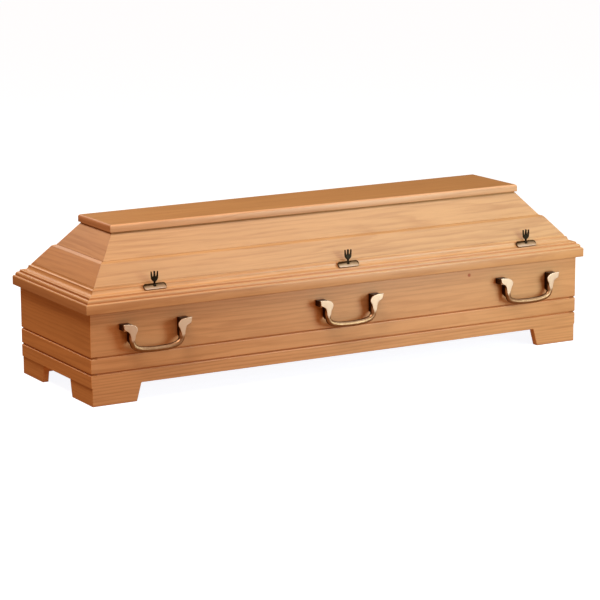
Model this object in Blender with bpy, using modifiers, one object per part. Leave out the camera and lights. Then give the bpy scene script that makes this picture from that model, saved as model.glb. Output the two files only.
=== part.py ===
"""A wooden chest coffin with a hipped lid, brass carrying handles and lid screws.

Metres, +Z up. The foot end is at -X, the head end at +X and the front at -Y. The origin is on the
floor under the middle of the box. A lid profile is a list of (inset, height) points: inset is
measured inwards from the outer face of the box, so the overhanging rim has negative insets.
"""

import math

import bmesh
import bpy
from mathutils import Matrix, Vector

# Box
BOX_LENGTH = 2.000
FOOT_END_WIDTH = 0.578
HEAD_END_WIDTH = 0.617
BOX_HEIGHT = 0.323
BOARD = 0.027
BOTTOM_BOARD = 0.020
BOARD_EDGE = 0.0015
CORNER_ROUND = 0.004

# Feet, cut from the side and end boards
FOOT_HEIGHT = 0.0645
SIDE_FOOT_TOP = 0.1895
SIDE_FOOT_BASE = 0.1715
END_FOOT_TOP = 0.180
END_FOOT_BASE = 0.1655
FOOT_SETBACK = 0.005

# Grooves all round the box, as heights of their middles
LOWER_GROOVE_HEIGHT = 0.111
UPPER_GROOVE_HEIGHT = 0.168
GROOVE_WIDTH = 0.010
GROOVE_DEPTH = 0.0055

# Rim moulding of the lid, from its outer face inwards and from the box upwards
RIM_OVERHANG = 0.0195
RIM_INSIDE = 0.015
RIM_FACE = 0.035
RIM_EDGE = 0.002
RIM_ROUND = 0.006
RIM_LEDGE = 0.008
QUIRK_RISE = 0.004
BEAD_RADIUS = 0.0095
BEAD_LEDGE = 0.002
STEP_RISE = 0.0047
STEP_ROUND = 0.003
STEP_LEDGE = 0.007
COVE_WIDTH = 0.0145
COVE_HEIGHT = 0.017
FILLET_WIDTH = 0.007
FILLET_RISE = 0.0025
SLOPE_QUIRK_WIDTH = 0.0025
SLOPE_QUIRK_RISE = 0.0055

# Slope boards of the lid, in two tiers
SLOPE_ANGLE = math.radians(51.3)
LOWER_SLOPE_RISE = 0.0675
TIER_LEDGE_WIDTH = 0.013
TIER_LEDGE_RISE = 0.0043
SLOPE_BOARD = 0.022
SLOPE_EDGE = 0.002

# Top board
LID_HEIGHT = 0.2645
TOP_BOARD = 0.027
LIP_OVERHANG = 0.0085
LIP_ROUND = 0.009
LIP_EDGE = 0.002

# Handles, three to a side: heights are measured down from the tips of the flared ends
FITTING_FROM_END = 0.235
HANDLE_TOP_HEIGHT = 0.282
HANDLE_HALF_LENGTH = 0.130
HANDLE_STAND_OFF = 0.043
HANDLE_DROP = 0.0975
BAR_RADIUS = 0.0082
BAR_SETBACK = 0.001
FLARE = 0.007
FLARE_DROP = 0.072
POST_WIDTH = 0.034
POST_HEIGHT = 0.020
POST_TOP = 0.004
POST_INSET = 0.003
WEB = 0.007
WEB_TOP = 0.008
WEB_DROP = 0.066
WEB_SLANT = 0.011
WEB_WALL_GAP = 0.001
WEB_FLARE_GAP = 0.002

# Lid screws and their plates, three to a side
SCREW_SHIFT = 0.018
PLATE_LENGTH = 0.085
PLATE_WIDTH = 0.023
PLATE = 0.0045
PLATE_CORNER = 0.006
PLATE_EDGE = 0.002
STEM_RADIUS = 0.00375
STEM_LENGTH = 0.0185
CROWN_WIDTH = 0.027
CROWN_HEIGHT = 0.036
CROWN = 0.0065
STEM_IN_CROWN = 0.004
SHANK_DEPTH = 0.025

# Clearances: pieces that touch keep JOINT, and a cutter runs CUT past what it cuts
JOINT = 0.0003
CUT = 0.020
WELD = 0.00001
CURVE_STEPS = 2
STEM_SIDES = 12

TAPER = math.atan((HEAD_END_WIDTH - FOOT_END_WIDTH) / 2 / BOX_LENGTH)
LID_BASE = BOX_HEIGHT + JOINT
LID_TOP = BOX_HEIGHT + LID_HEIGHT
SLOPE_UP = Vector((math.cos(SLOPE_ANGLE), math.sin(SLOPE_ANGLE)))
SLOPE_IN = Vector((math.sin(SLOPE_ANGLE), -math.cos(SLOPE_ANGLE)))

LIGHT_WOOD = (0.62, 0.33, 0.15)
SLOPE_WOOD = (0.74, 0.43, 0.22)
TOP_WOOD = (0.48, 0.22, 0.08)
BRASS = (0.42, 0.32, 0.18)
BRONZE = (0.07, 0.05, 0.03)

# Curved lines of a handle, as shares of its half length and of the drop of the line's lowest point
BAR_ROUTE = (
    (0.73, 0.19),
    (0.73, 0.42),
    (0.723, 0.63),
    (0.69, 0.787),
    (0.615, 0.885),
    (0.5, 0.943),
    (0.347, 0.98),
    (0.152, 0.995),
)
FLARE_CREST = (
    (1.0, 0.0),
    (0.869, 0.007),
    (0.754, 0.035),
    (0.654, 0.11),
    (0.592, 0.25),
    (0.6, 0.39),
    (0.646, 0.555),
    (0.669, 0.735),
    (0.723, 1.0),
)
FLARE_RETURN = (
    (0.723, 1.0),
    (0.781, 0.805),
    (0.796, 0.61),
    (0.823, 0.445),
    (0.877, 0.355),
    (0.969, 0.265),
)

# Outline of a screw's crown, as shares of its half width and of its height
CROWN_OUTLINE = (
    (0.24, -0.03),
    (0.62, 0.087),
    (0.92, 0.244),
    (1.0, 0.542),
    (0.97, 0.98),
    (0.86, 0.98),
    (0.68, 0.569),
    (0.46, 0.531),
    (0.24, 0.569),
    (0.06, 1.0),
)

FOOT_FRONT, HEAD_FRONT, HEAD_BACK, FOOT_BACK = (-1, -1), (1, -1), (1, 1), (-1, 1)
CORNERS = (FOOT_FRONT, HEAD_FRONT, HEAD_BACK, FOOT_BACK)
LID_SIDES = {
    "front": (FOOT_FRONT, HEAD_FRONT),
    "back": (HEAD_BACK, FOOT_BACK),
    "foot": (FOOT_BACK, FOOT_FRONT),
    "head": (HEAD_FRONT, HEAD_BACK),
}
FITTING_X = BOX_LENGTH / 2 - FITTING_FROM_END
PLACES = {"foot": -FITTING_X, "middle": 0.0, "head": FITTING_X}


def half_width(x):
    """Return the half width of the box at x."""
    return (FOOT_END_WIDTH + HEAD_END_WIDTH) / 4 + x * math.tan(TAPER)


def side_plane(x, side, inset):
    """Return the y of the plane that lies inset inside a long side of the box."""
    return side * (half_width(x) - inset / math.cos(TAPER))


def plan(corner, inset):
    """Return x and y of a corner of the box plan, drawn in by inset on both of its sides."""
    end, side = corner
    x = end * (BOX_LENGTH / 2 - inset)
    return x, side_plane(x, side, inset)


def material(name, colour, roughness, metallic):
    """Make one finish."""
    finish = bpy.data.materials.new(name)
    finish.use_nodes = True
    shader = finish.node_tree.nodes["Principled BSDF"]
    shader.inputs["Base Color"].default_value = (*colour, 1.0)
    shader.inputs["Roughness"].default_value = roughness
    shader.inputs["Metallic"].default_value = metallic
    return finish


def place(name, mesh, colour=None, roughness=0.4, metallic=0.0):
    """Put a mesh in the coffin's collection, or in the cutters' when it has no colour."""
    piece = bpy.data.objects.new(name, mesh)
    if colour is None:
        cutters.objects.link(piece)
        piece.hide_render = True
        piece.display_type = "WIRE"
    else:
        coffin.objects.link(piece)
        if not mesh.materials:
            mesh.materials.append(None)
        piece.material_slots[0].link = "OBJECT"
        piece.material_slots[0].material = material(name + "_finish", colour, roughness, metallic)
    return piece


def wood(name, mesh, colour=LIGHT_WOOD):
    """Place a piece of lacquered wood."""
    return place(name, mesh, colour, 0.38, 0.0)


def boolean(piece, other, operation):
    """Cut another solid from a piece, or join it on."""
    step = piece.modifiers.new(other.name, "BOOLEAN")
    step.operation = operation
    step.solver = "EXACT"
    step.object = other


def cut(piece, cutter):
    """Cut a solid from a piece."""
    boolean(piece, cutter, "DIFFERENCE")


def soften(piece, width):
    """Break the sharp edges of a board."""
    edge = piece.modifiers.new("edges", "BEVEL")
    edge.width = width
    edge.segments = 1
    edge.limit_method = "ANGLE"
    edge.angle_limit = math.radians(60)
    edge.harden_normals = False


def to_mesh(bm, name):
    """Turn a bmesh into a mesh with its faces pointing out."""
    bmesh.ops.recalc_face_normals(bm, faces=bm.faces)
    mesh = bpy.data.meshes.new(name)
    bm.to_mesh(mesh)
    bm.free()
    return mesh


def cube_between(x_ends, y_at, z_ends):
    """Make a box whose long faces follow the two functions of x in y_at."""
    bm = bmesh.new()
    bmesh.ops.create_cube(bm, size=1.0)
    for vert in bm.verts:
        x = x_ends[vert.co.x > 0]
        vert.co = (x, y_at[vert.co.y > 0](x), z_ends[vert.co.z > 0])
    return bm


def round_edges(bm, radius, segments, pick):
    """Round the edges that pick chooses by their middle and direction."""
    edges = []
    for edge in bm.edges:
        start, stop = (vert.co for vert in edge.verts)
        if pick((start + stop) / 2, (stop - start).normalized()):
            edges.append(edge)
    bmesh.ops.bevel(bm, geom=edges, offset=radius, segments=segments, profile=0.5, affect="EDGES")


def loft(name, loops, closed):
    """Join loops of points with faces. A closed loft runs on from its last loop to its first."""
    bm = bmesh.new()
    rings = [[bm.verts.new(point) for point in loop] for loop in loops]
    pairs = list(zip(rings, rings[1:]))
    if closed:
        pairs.append((rings[-1], rings[0]))
    else:
        bm.faces.new(rings[0])
        bm.faces.new(rings[-1][::-1])
    for first, second in pairs:
        for i in range(len(first)):
            j = (i + 1) % len(first)
            bm.faces.new((first[i], first[j], second[j], second[i]))
    return to_mesh(bm, name)


def arc(centre, radii, start, stop, steps):
    """Return points on part of an ellipse. Angles are in degrees."""
    points = []
    for step in range(steps + 1):
        angle = math.radians(start + (stop - start) * step / steps)
        points.append(
            (centre[0] + radii[0] * math.cos(angle), centre[1] + radii[1] * math.sin(angle))
        )
    return points


def smooth(points):
    """Return points on a smooth curve through the given ones."""
    ends = [2 * Vector(points[0]) - Vector(points[1]), 2 * Vector(points[-1]) - Vector(points[-2])]
    knots = [ends[0], *(Vector(point) for point in points), ends[1]]
    curve = []
    for a, b, c, d in zip(knots, knots[1:], knots[2:], knots[3:]):
        for step in range(CURVE_STEPS):
            t = step / CURVE_STEPS
            curve.append(
                0.5
                * (2 * b + (c - a) * t + (2 * a - 5 * b + 4 * c - d) * t**2
                   + (3 * b - a - 3 * c + d) * t**3)
            )
    return [*curve, Vector(points[-1])]


def weld(mesh):
    """Join the loose caps of a mesh that was made from a curve."""
    bm = bmesh.new()
    bm.from_mesh(mesh)
    bmesh.ops.remove_doubles(bm, verts=bm.verts, dist=WELD)
    return to_mesh(bm, mesh.name)


def curve_solid(name, curve, points, upright):
    """Turn a curve into a mesh object. An upright outline stands up from the ground plane."""
    spline = curve.splines.new("POLY")
    spline.points.add(len(points) - 1)
    for knot, point in zip(spline.points, points):
        knot.co = (*Vector(point).to_3d(), 1.0)
    spline.use_cyclic_u = upright
    route = bpy.data.objects.new(name, curve)
    cutters.objects.link(route)
    evaluated = route.evaluated_get(bpy.context.evaluated_depsgraph_get())
    mesh = weld(bpy.data.meshes.new_from_object(evaluated))
    bpy.data.objects.remove(route)
    if upright:
        mesh.transform(Matrix.Rotation(math.radians(90), 4, "X"))
    return place(name, mesh)


def outline_solid(name, points, thickness):
    """Make an upright slab from a flat outline of (x, z) points, half of it on each side of y 0."""
    curve = bpy.data.curves.new(name, "CURVE")
    curve.dimensions = "2D"
    curve.fill_mode = "BOTH"
    curve.extrude = thickness / 2
    return curve_solid(name, curve, points, True)


def rod_solid(name, points, radius):
    """Make a round rod along a route."""
    curve = bpy.data.curves.new(name, "CURVE")
    curve.dimensions = "3D"
    curve.bevel_depth = radius
    curve.bevel_resolution = 2
    curve.use_fill_caps = True
    return curve_solid(name, curve, points, False)


def fused_mesh(base, others, name):
    """Join solids on to a base and return the result as a mesh."""
    for other in others:
        boolean(base, other, "UNION")
    evaluated = base.evaluated_get(bpy.context.evaluated_depsgraph_get())
    mesh = bpy.data.meshes.new_from_object(evaluated)
    mesh.name = name
    for piece in (base, *others):
        bpy.data.objects.remove(piece)
    mesh.shade_smooth()
    mesh.set_sharp_from_angle(angle=math.radians(40))
    return mesh


def foot_gap(name, middle, top_half, base_half, along_x):
    """Make the cutter for the gap between two feet: wider at the floor than at the top."""
    flare = (base_half - top_half) / FOOT_HEIGHT
    low_half = base_half + flare * CUT
    bm = bmesh.new()
    bmesh.ops.create_cube(bm, size=1.0)
    for vert in bm.verts:
        half, height = (top_half, FOOT_HEIGHT) if vert.co.z > 0 else (low_half, -CUT)
        span = math.copysign(half, vert.co.x)
        depth = math.copysign(middle[1], vert.co.y)
        vert.co = (span, depth, height) if along_x else (middle[0] + depth, span, height)
    return place(name, to_mesh(bm, name))


def groove_ring(name, height):
    """Make the cutter for a V-groove that runs all round the box."""
    outside = CUT / 4
    half = GROOVE_WIDTH / 2 * (1 + outside / GROOVE_DEPTH)
    section = ((-outside, height - half), (GROOVE_DEPTH, height), (-outside, height + half))
    loops = [[(*plan(corner, inset), z) for inset, z in section] for corner in CORNERS]
    return place(name, loft(name, loops, True))


def side_board(side):
    """Make a side board, which stands between the end boards."""
    x = BOX_LENGTH / 2 - BOARD - JOINT
    faces = sorted((0.0, BOARD), key=lambda inset: side_plane(0.0, side, inset))
    y_at = [lambda x, inset=inset: side_plane(x, side, inset) for inset in faces]
    name = "side_board_" + ("front" if side < 0 else "back")
    return wood(name, to_mesh(cube_between((-x, x), y_at, (0.0, BOX_HEIGHT)), name))


def end_board(end):
    """Make an end board, which covers the ends of the side boards."""
    x_ends = sorted((end * BOX_LENGTH / 2, end * (BOX_LENGTH / 2 - BOARD)))
    bm = cube_between(x_ends, (lambda x: -half_width(x), half_width), (0.0, BOX_HEIGHT))
    outer = BOX_LENGTH / 2 - BOARD / 2

    def outer_corner(middle, direction):
        return abs(direction.z) > 0.9 and middle.x * end > outer

    round_edges(bm, CORNER_ROUND, 3, outer_corner)
    name = "end_board_" + ("foot" if end < 0 else "head")
    return wood(name, to_mesh(bm, name))


def bottom_board():
    """Make the bottom board, which lies inside the four walls."""
    inset = BOARD + JOINT
    x = BOX_LENGTH / 2 - inset
    y_at = (lambda x: side_plane(x, -1, inset), lambda x: side_plane(x, 1, inset))
    heights = (FOOT_HEIGHT, FOOT_HEIGHT + BOTTOM_BOARD)
    return wood("bottom_board", to_mesh(cube_between((-x, x), y_at, heights), "bottom_board"))


def make_box():
    """Make the box: four walls with feet and grooves, and the bottom board."""
    reach = max(FOOT_END_WIDTH, HEAD_END_WIDTH) / 2 + CUT
    half = BOX_LENGTH / 2
    grooves = (
        groove_ring("lower_groove", LOWER_GROOVE_HEIGHT),
        groove_ring("upper_groove", UPPER_GROOVE_HEIGHT),
    )
    long_gap = foot_gap(
        "side_foot_gap", (0.0, reach), half - SIDE_FOOT_TOP, half - SIDE_FOOT_BASE, True
    )
    boards = {}
    for side in (-1, 1):
        board = side_board(side)
        cut(board, long_gap)
        boards[side] = board
    ends = []
    for end, word, width in ((-1, "foot", FOOT_END_WIDTH), (1, "head", HEAD_END_WIDTH)):
        board = end_board(end)
        gap = foot_gap(
            word + "_end_foot_gap",
            (end * half, BOARD + CUT),
            width / 2 - END_FOOT_TOP,
            width / 2 - END_FOOT_BASE,
            False,
        )
        setback_x = sorted((end * (half - FOOT_SETBACK), end * (half + CUT)))
        setback = cube_between(
            setback_x, (lambda x: -reach, lambda x: reach), (-CUT, FOOT_HEIGHT)
        )
        cut(board, gap)
        cut(board, place(word + "_foot_setback", to_mesh(setback, "setback")))
        ends.append(board)
    for board in (*boards.values(), *ends):
        soften(board, BOARD_EDGE)
        for groove in grooves:
            cut(board, groove)
    bottom_board()
    return boards


def moulding():
    """Return the outer profile of the rim, its cove's two edges and the foot of the slope."""
    x, z = -RIM_OVERHANG, LID_BASE
    points = [(x + RIM_EDGE, z), (x, z + RIM_EDGE)]
    z += RIM_FACE
    points += arc((x + RIM_ROUND, z - RIM_ROUND), (RIM_ROUND, RIM_ROUND), 180, 90, 3)
    x += RIM_LEDGE
    points.append((x, z))
    z += QUIRK_RISE
    points += arc((x + BEAD_RADIUS, z), (BEAD_RADIUS, BEAD_RADIUS), 180, 90, 4)
    x, z = x + BEAD_RADIUS + BEAD_LEDGE, z + BEAD_RADIUS
    points.append((x, z))
    z += STEP_RISE
    points += arc((x + STEP_ROUND, z), (STEP_ROUND, STEP_ROUND), 180, 90, 2)
    x, z = x + STEP_ROUND + STEP_LEDGE, z + STEP_ROUND
    cove_foot = Vector((x, z))
    points += arc((x, z + COVE_HEIGHT), (COVE_WIDTH, COVE_HEIGHT), 270, 360, 4)
    x, z = x + COVE_WIDTH, z + COVE_HEIGHT
    cove_head = Vector((x, z))
    x, z = x + FILLET_WIDTH, z + FILLET_RISE
    points.append((x, z))
    slope_foot = Vector((x + SLOPE_QUIRK_WIDTH, z + SLOPE_QUIRK_RISE))
    return points, cove_foot, cove_head, slope_foot


def along_inner_plane(point, inset=None, height=None):
    """Move a point along the lid's inner plane to an inset or to a height."""
    if inset is not None:
        return point + SLOPE_UP * ((inset - point.x) / SLOPE_UP.x)
    return point + SLOPE_UP * ((height - point.y) / SLOPE_UP.y)


def lid_profiles():
    """Return the profiles of the rim and of both tiers of slope boards, and the lip's inset."""
    points, _, _, slope_foot = moulding()
    seat = slope_foot - SLOPE_UP * JOINT
    seat_in = seat + SLOPE_IN * SLOPE_BOARD
    rim_inner = BOARD + RIM_INSIDE
    rim = [
        *points,
        seat,
        seat_in,
        along_inner_plane(seat_in, inset=rim_inner),
        Vector((rim_inner, LID_BASE)),
    ]
    shoulder = slope_foot + SLOPE_UP * (LOWER_SLOPE_RISE / SLOPE_UP.y)
    ledge = shoulder + Vector((TIER_LEDGE_WIDTH, TIER_LEDGE_RISE))
    upper_board = SLOPE_BOARD - (ledge - shoulder).dot(SLOPE_IN)
    lower = [
        slope_foot,
        shoulder - SLOPE_UP * SLOPE_EDGE,
        shoulder + Vector((SLOPE_EDGE, SLOPE_EDGE * TIER_LEDGE_RISE / TIER_LEDGE_WIDTH)),
        ledge,
        ledge + SLOPE_IN * upper_board,
        slope_foot + SLOPE_IN * SLOPE_BOARD,
    ]
    upper_foot = ledge + SLOPE_UP * JOINT
    under_top = LID_TOP - TOP_BOARD - JOINT
    upper_head = along_inner_plane(upper_foot, height=under_top)
    inner_foot = upper_foot + SLOPE_IN * upper_board
    upper = [upper_foot, upper_head, along_inner_plane(inner_foot, height=under_top), inner_foot]
    return rim, lower, upper, upper_head.x - LIP_OVERHANG


def mitred_board(name, profile, corners, colour):
    """Make a board of the lid: its profile runs from one mitred corner to the next."""
    loops = []
    for here, there in (corners, corners[::-1]):
        loop = []
        for inset, height in profile:
            point = Vector((*plan(here, inset), height))
            other = Vector((*plan(there, inset), height))
            loop.append(point + (other - point).normalized() * JOINT / math.sqrt(2))
        loops.append(loop)
    return wood(name, loft(name, loops, False), colour)


def top_board(lip_inset):
    """Make the flat top board with its rounded lip."""
    under = LID_TOP - TOP_BOARD
    layers = [(lip_inset + LIP_EDGE, under), (lip_inset, under + LIP_EDGE)]
    layers += arc(
        (lip_inset + LIP_ROUND, LID_TOP - LIP_ROUND), (LIP_ROUND, LIP_ROUND), 180, 90, 4
    )
    loops = [[(*plan(corner, inset), z) for corner in CORNERS] for inset, z in layers]
    return wood("lid_top_board", loft("lid_top_board", loops, False), TOP_WOOD)


def make_lid():
    """Make the lid: a mitred rim, two tiers of slope boards and the top board."""
    rim, lower, upper, lip_inset = lid_profiles()
    rims = {}
    for word, corners in LID_SIDES.items():
        rims[word] = mitred_board("lid_rim_" + word, rim, corners, LIGHT_WOOD)
        mitred_board("lid_lower_slope_" + word, lower, corners, SLOPE_WOOD)
        mitred_board("lid_upper_slope_" + word, upper, corners, SLOPE_WOOD)
    top_board(lip_inset)
    return rims


def flared_end(hand):
    """Make the wing-shaped front of one end of a handle. Hand is -1 or 1."""
    shares = [*smooth(FLARE_CREST), *smooth(FLARE_RETURN)[1:]]
    outline = [(hand * HANDLE_HALF_LENGTH * out, -FLARE_DROP * down) for out, down in shares]
    wing = outline_solid("flared_end", outline, FLARE)
    wing.location.y = -(HANDLE_STAND_OFF - FLARE / 2)
    return wing


def handle_post(hand):
    """Make the block that carries a flared end from the wall."""
    outer = HANDLE_HALF_LENGTH - POST_INSET
    x_ends = sorted((hand * outer, hand * (outer - POST_WIDTH)))
    depth = HANDLE_STAND_OFF - FLARE / 2
    y_at = (lambda x: -depth, lambda x: -JOINT)
    bm = cube_between(x_ends, y_at, (-POST_TOP - POST_HEIGHT, -POST_TOP))
    return place("handle_post", to_mesh(bm, "handle_post"))


def handle_web(hand):
    """Make the web behind one arm, from the post down to the bar."""
    depth = HANDLE_STAND_OFF - FLARE - WEB_FLARE_GAP
    outline = [
        (-WEB_WALL_GAP, -WEB_TOP),
        (-WEB_WALL_GAP, -WEB_DROP),
        (-0.3 * depth, -WEB_DROP - 0.45 * WEB_SLANT),
        (-0.6 * depth, -WEB_DROP - 0.8 * WEB_SLANT),
        (-depth, -WEB_DROP - WEB_SLANT),
        (-depth, -WEB_TOP),
    ]
    web = outline_solid("handle_web", outline, WEB)
    web.rotation_euler.z = math.radians(90)
    web.location.x = hand * HANDLE_HALF_LENGTH * BAR_ROUTE[0][0]
    return web


def handle_bar():
    """Make the bar: down one arm, along the belly and up the other arm."""
    half = [(HANDLE_HALF_LENGTH * out, -HANDLE_DROP * down) for out, down in BAR_ROUTE]
    route = smooth([*((-x, z) for x, z in half), (0.0, -HANDLE_DROP), *half[::-1]])
    depth = HANDLE_STAND_OFF - BAR_RADIUS - BAR_SETBACK
    return rod_solid("handle_bar", [(x, -depth, z) for x, z in route], BAR_RADIUS)


def handle_mesh():
    """Make one handle casting, with its origin on the wall between the tips."""
    others = []
    for hand in (-1, 1):
        others += [handle_web(hand), handle_post(hand), flared_end(hand)]
    return fused_mesh(handle_bar(), others, "handle")


def make_handles():
    """Hang three handles on each side board."""
    mesh = handle_mesh()
    for side, word in ((-1, "front"), (1, "back")):
        for spot, x in PLACES.items():
            handle = place(f"handle_{word}_{spot}", mesh, BRASS, 0.3, 1.0)
            handle.location = (x, side_plane(x, side, 0.0), HANDLE_TOP_HEIGHT)
            handle.rotation_euler.z = side * TAPER + (math.pi if side > 0 else 0.0)


def plate_mesh():
    """Make one screw plate, with its origin in the middle of its underside."""
    bm = bmesh.new()
    bmesh.ops.create_cube(bm, size=1.0)
    bmesh.ops.transform(
        bm,
        matrix=Matrix.Translation((0, 0, PLATE / 2))
        @ Matrix.Diagonal((PLATE_LENGTH, PLATE_WIDTH, PLATE, 1)),
        verts=bm.verts,
    )
    round_edges(bm, PLATE_CORNER, 3, lambda middle, direction: abs(direction.z) > 0.9)
    round_edges(bm, PLATE_EDGE, 2, lambda middle, direction: middle.z > PLATE * 0.9)
    return to_mesh(bm, "plate")


def screw_mesh():
    """Make one lid screw, with its origin where the stem leaves the plate."""
    shank = SHANK_DEPTH + screw_seat()[1] - BOX_HEIGHT
    length = shank + STEM_LENGTH + STEM_IN_CROWN
    bm = bmesh.new()
    bmesh.ops.create_cone(
        bm,
        cap_ends=True,
        segments=STEM_SIDES,
        radius1=STEM_RADIUS,
        radius2=STEM_RADIUS,
        depth=length,
        matrix=Matrix.Translation((0, 0, length / 2 - shank)),
    )
    stem = place("screw_stem", to_mesh(bm, "screw_stem"))
    right = [(CROWN_WIDTH / 2 * out, CROWN_HEIGHT * up) for out, up in CROWN_OUTLINE]
    outline = right + [(-x, z) for x, z in right[::-1]]
    crown = outline_solid("screw_crown", outline, CROWN)
    crown.location.z = STEM_LENGTH
    return fused_mesh(stem, [crown], "screw")


def screw_seat():
    """Return the middle of a plate's seat, as inset and height, and its angle.

    The plate stands with its lower edge on the foot of the cove and leans on the cove's head.
    """
    _, cove_foot, cove_head, _ = moulding()
    along = (cove_head - cove_foot).normalized()
    middle = cove_foot + along * (PLATE_WIDTH / 2 + JOINT)
    return middle.x, middle.y, math.atan2(along.y, along.x)


def screw_hole(name, x, y, seat_height):
    """Make the cutter for the hole through a plate and the rim into the side board."""
    low = BOX_HEIGHT - SHANK_DEPTH - JOINT
    high = seat_height + CUT
    bm = bmesh.new()
    bmesh.ops.create_cone(
        bm,
        cap_ends=True,
        segments=STEM_SIDES,
        radius1=STEM_RADIUS + JOINT,
        radius2=STEM_RADIUS + JOINT,
        depth=high - low,
        matrix=Matrix.Translation((x, y, (low + high) / 2)),
    )
    return place(name, to_mesh(bm, name))


def make_screws(boards, rims):
    """Fasten the rim to the side boards with three screws a side, each through a plate."""
    plate = plate_mesh()
    screw = screw_mesh()
    inset, height, angle = screw_seat()
    for side, word in ((-1, "front"), (1, "back")):
        for spot, middle in PLACES.items():
            where = f"{word}_{spot}"
            x = middle + SCREW_SHIFT
            y = side_plane(x, side, inset)
            turn = side * TAPER + (math.pi if side > 0 else 0.0)
            hole = screw_hole("screw_hole_" + where, x, y, height)
            base = place("screw_plate_" + where, plate, BRASS, 0.35, 1.0)
            tilt = Matrix.Rotation(turn, 4, "Z") @ Matrix.Rotation(angle, 4, "X")
            base.matrix_world = (
                Matrix.Translation((x, y, height)) @ tilt @ Matrix.Translation((0, 0, JOINT))
            )
            for piece in (base, boards[side], rims[word]):
                cut(piece, hole)
            thumb = place("lid_screw_" + where, screw, BRONZE, 0.45, 1.0)
            thumb.location = (x, y, height)
            thumb.rotation_euler.z = turn


for item in list(bpy.data.objects):
    bpy.data.objects.remove(item, do_unlink=True)
coffin = bpy.data.collections.new("Wooden coffin")
cutters = bpy.data.collections.new("Cutters")
for collection in (coffin, cutters):
    bpy.context.scene.collection.children.link(collection)

side_boards = make_box()
lid_rims = make_lid()
make_handles()
make_screws(side_boards, lid_rims)
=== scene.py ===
"""The finished surfaces of a lacquered oak chest coffin, laid out as an add-on and run as a script.

Metres, +Z up. The foot end is at -X, the head end at +X and the front at -Y. A lid profile is a
list of (inset, height) points: inset is measured inwards from the outer face of the box, so the
overhanging rim has negative insets.
"""

import math

import bmesh
import bpy
from mathutils import Matrix, Vector


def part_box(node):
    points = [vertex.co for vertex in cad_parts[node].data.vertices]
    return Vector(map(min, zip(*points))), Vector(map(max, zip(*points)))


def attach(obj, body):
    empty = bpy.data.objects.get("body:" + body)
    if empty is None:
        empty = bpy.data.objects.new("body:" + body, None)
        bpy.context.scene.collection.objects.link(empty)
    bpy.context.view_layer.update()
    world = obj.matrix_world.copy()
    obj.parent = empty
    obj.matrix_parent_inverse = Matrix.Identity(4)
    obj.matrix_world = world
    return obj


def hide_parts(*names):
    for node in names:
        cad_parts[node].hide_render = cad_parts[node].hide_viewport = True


bl_info = {
    "name": "Lacquered Oak Coffin",
    "version": (1, 0, 0),
    "blender": (4, 5, 0),
    "location": "3D View > Sidebar > Coffin",
    "description": "Finishes the boards and fittings of a lacquered oak coffin",
    "category": "Add Mesh",
}

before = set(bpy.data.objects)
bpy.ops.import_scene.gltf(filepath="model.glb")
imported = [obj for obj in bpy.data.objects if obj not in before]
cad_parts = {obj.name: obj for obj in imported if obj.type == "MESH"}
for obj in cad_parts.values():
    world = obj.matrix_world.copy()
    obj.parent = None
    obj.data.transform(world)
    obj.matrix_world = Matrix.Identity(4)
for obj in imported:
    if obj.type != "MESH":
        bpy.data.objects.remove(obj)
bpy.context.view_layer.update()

# Box, as packed: its half length, its height, and how it widens from the foot to the head
BOX_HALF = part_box("end_board_head")[1].x
BOX_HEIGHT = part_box("end_board_head")[1].z
FOOT_END_WIDTH = 0.578
HEAD_END_WIDTH = 0.617
TAPER = math.atan((HEAD_END_WIDTH - FOOT_END_WIDTH) / 4 / BOX_HALF)
BOARD = 0.027
GROOVE_HEIGHTS = (0.111, 0.168)
JOINT = 0.0003
BOTTOM_FACE = 0.08
BOTTOM_GLUE_LINES = (-0.15, 0.0, 0.15)
KNOT_X = 0.522
KNOT_HEIGHT = 0.300

# Making good of the CAD boards: welding, flat and sanded angles, and the hair line of a glued joint
WELD = 0.00001
FLAT_ANGLE = math.radians(0.5)
SANDED_ANGLE = math.radians(25)
HAIR_LINE = 0.00002

# Rim moulding of the lid, from its outer face inwards and from the box upwards
RIM_OVERHANG = 0.0195
RIM_INSIDE = 0.015
RIM_FACE = 0.035
RIM_EDGE = 0.002
RIM_ROUND = 0.006
RIM_LEDGE = 0.008
QUIRK_RISE = 0.004
BEAD_RADIUS = 0.0095
BEAD_LEDGE = 0.002
STEP_RISE = 0.0047
STEP_ROUND = 0.003
STEP_LEDGE = 0.007
COVE_WIDTH = 0.0145
COVE_HEIGHT = 0.017
FILLET_WIDTH = 0.007
FILLET_RISE = 0.0025
SLOPE_QUIRK_WIDTH = 0.0025
SLOPE_QUIRK_RISE = 0.0055
SLOPE_ANGLE = math.radians(51.3)
SLOPE_BOARD = 0.022
SLOPE_UP = Vector((math.cos(SLOPE_ANGLE), math.sin(SLOPE_ANGLE)))
SLOPE_IN = Vector((math.sin(SLOPE_ANGLE), -math.cos(SLOPE_ANGLE)))

# Middle of each tier of the slopes: its height, and how far in from the tier's lower edge it lies
TIER_HEIGHTS = {"lower": 0.43, "upper": 0.52}
TIER_INSET = 0.04

# Top board
TOP_LOW, TOP_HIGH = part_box("lid_top_board")
LIP_ROUND = 0.009
LIP_EDGE = 0.002
TOP_GLUE_LINES = (-0.055, 0.05)

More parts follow.
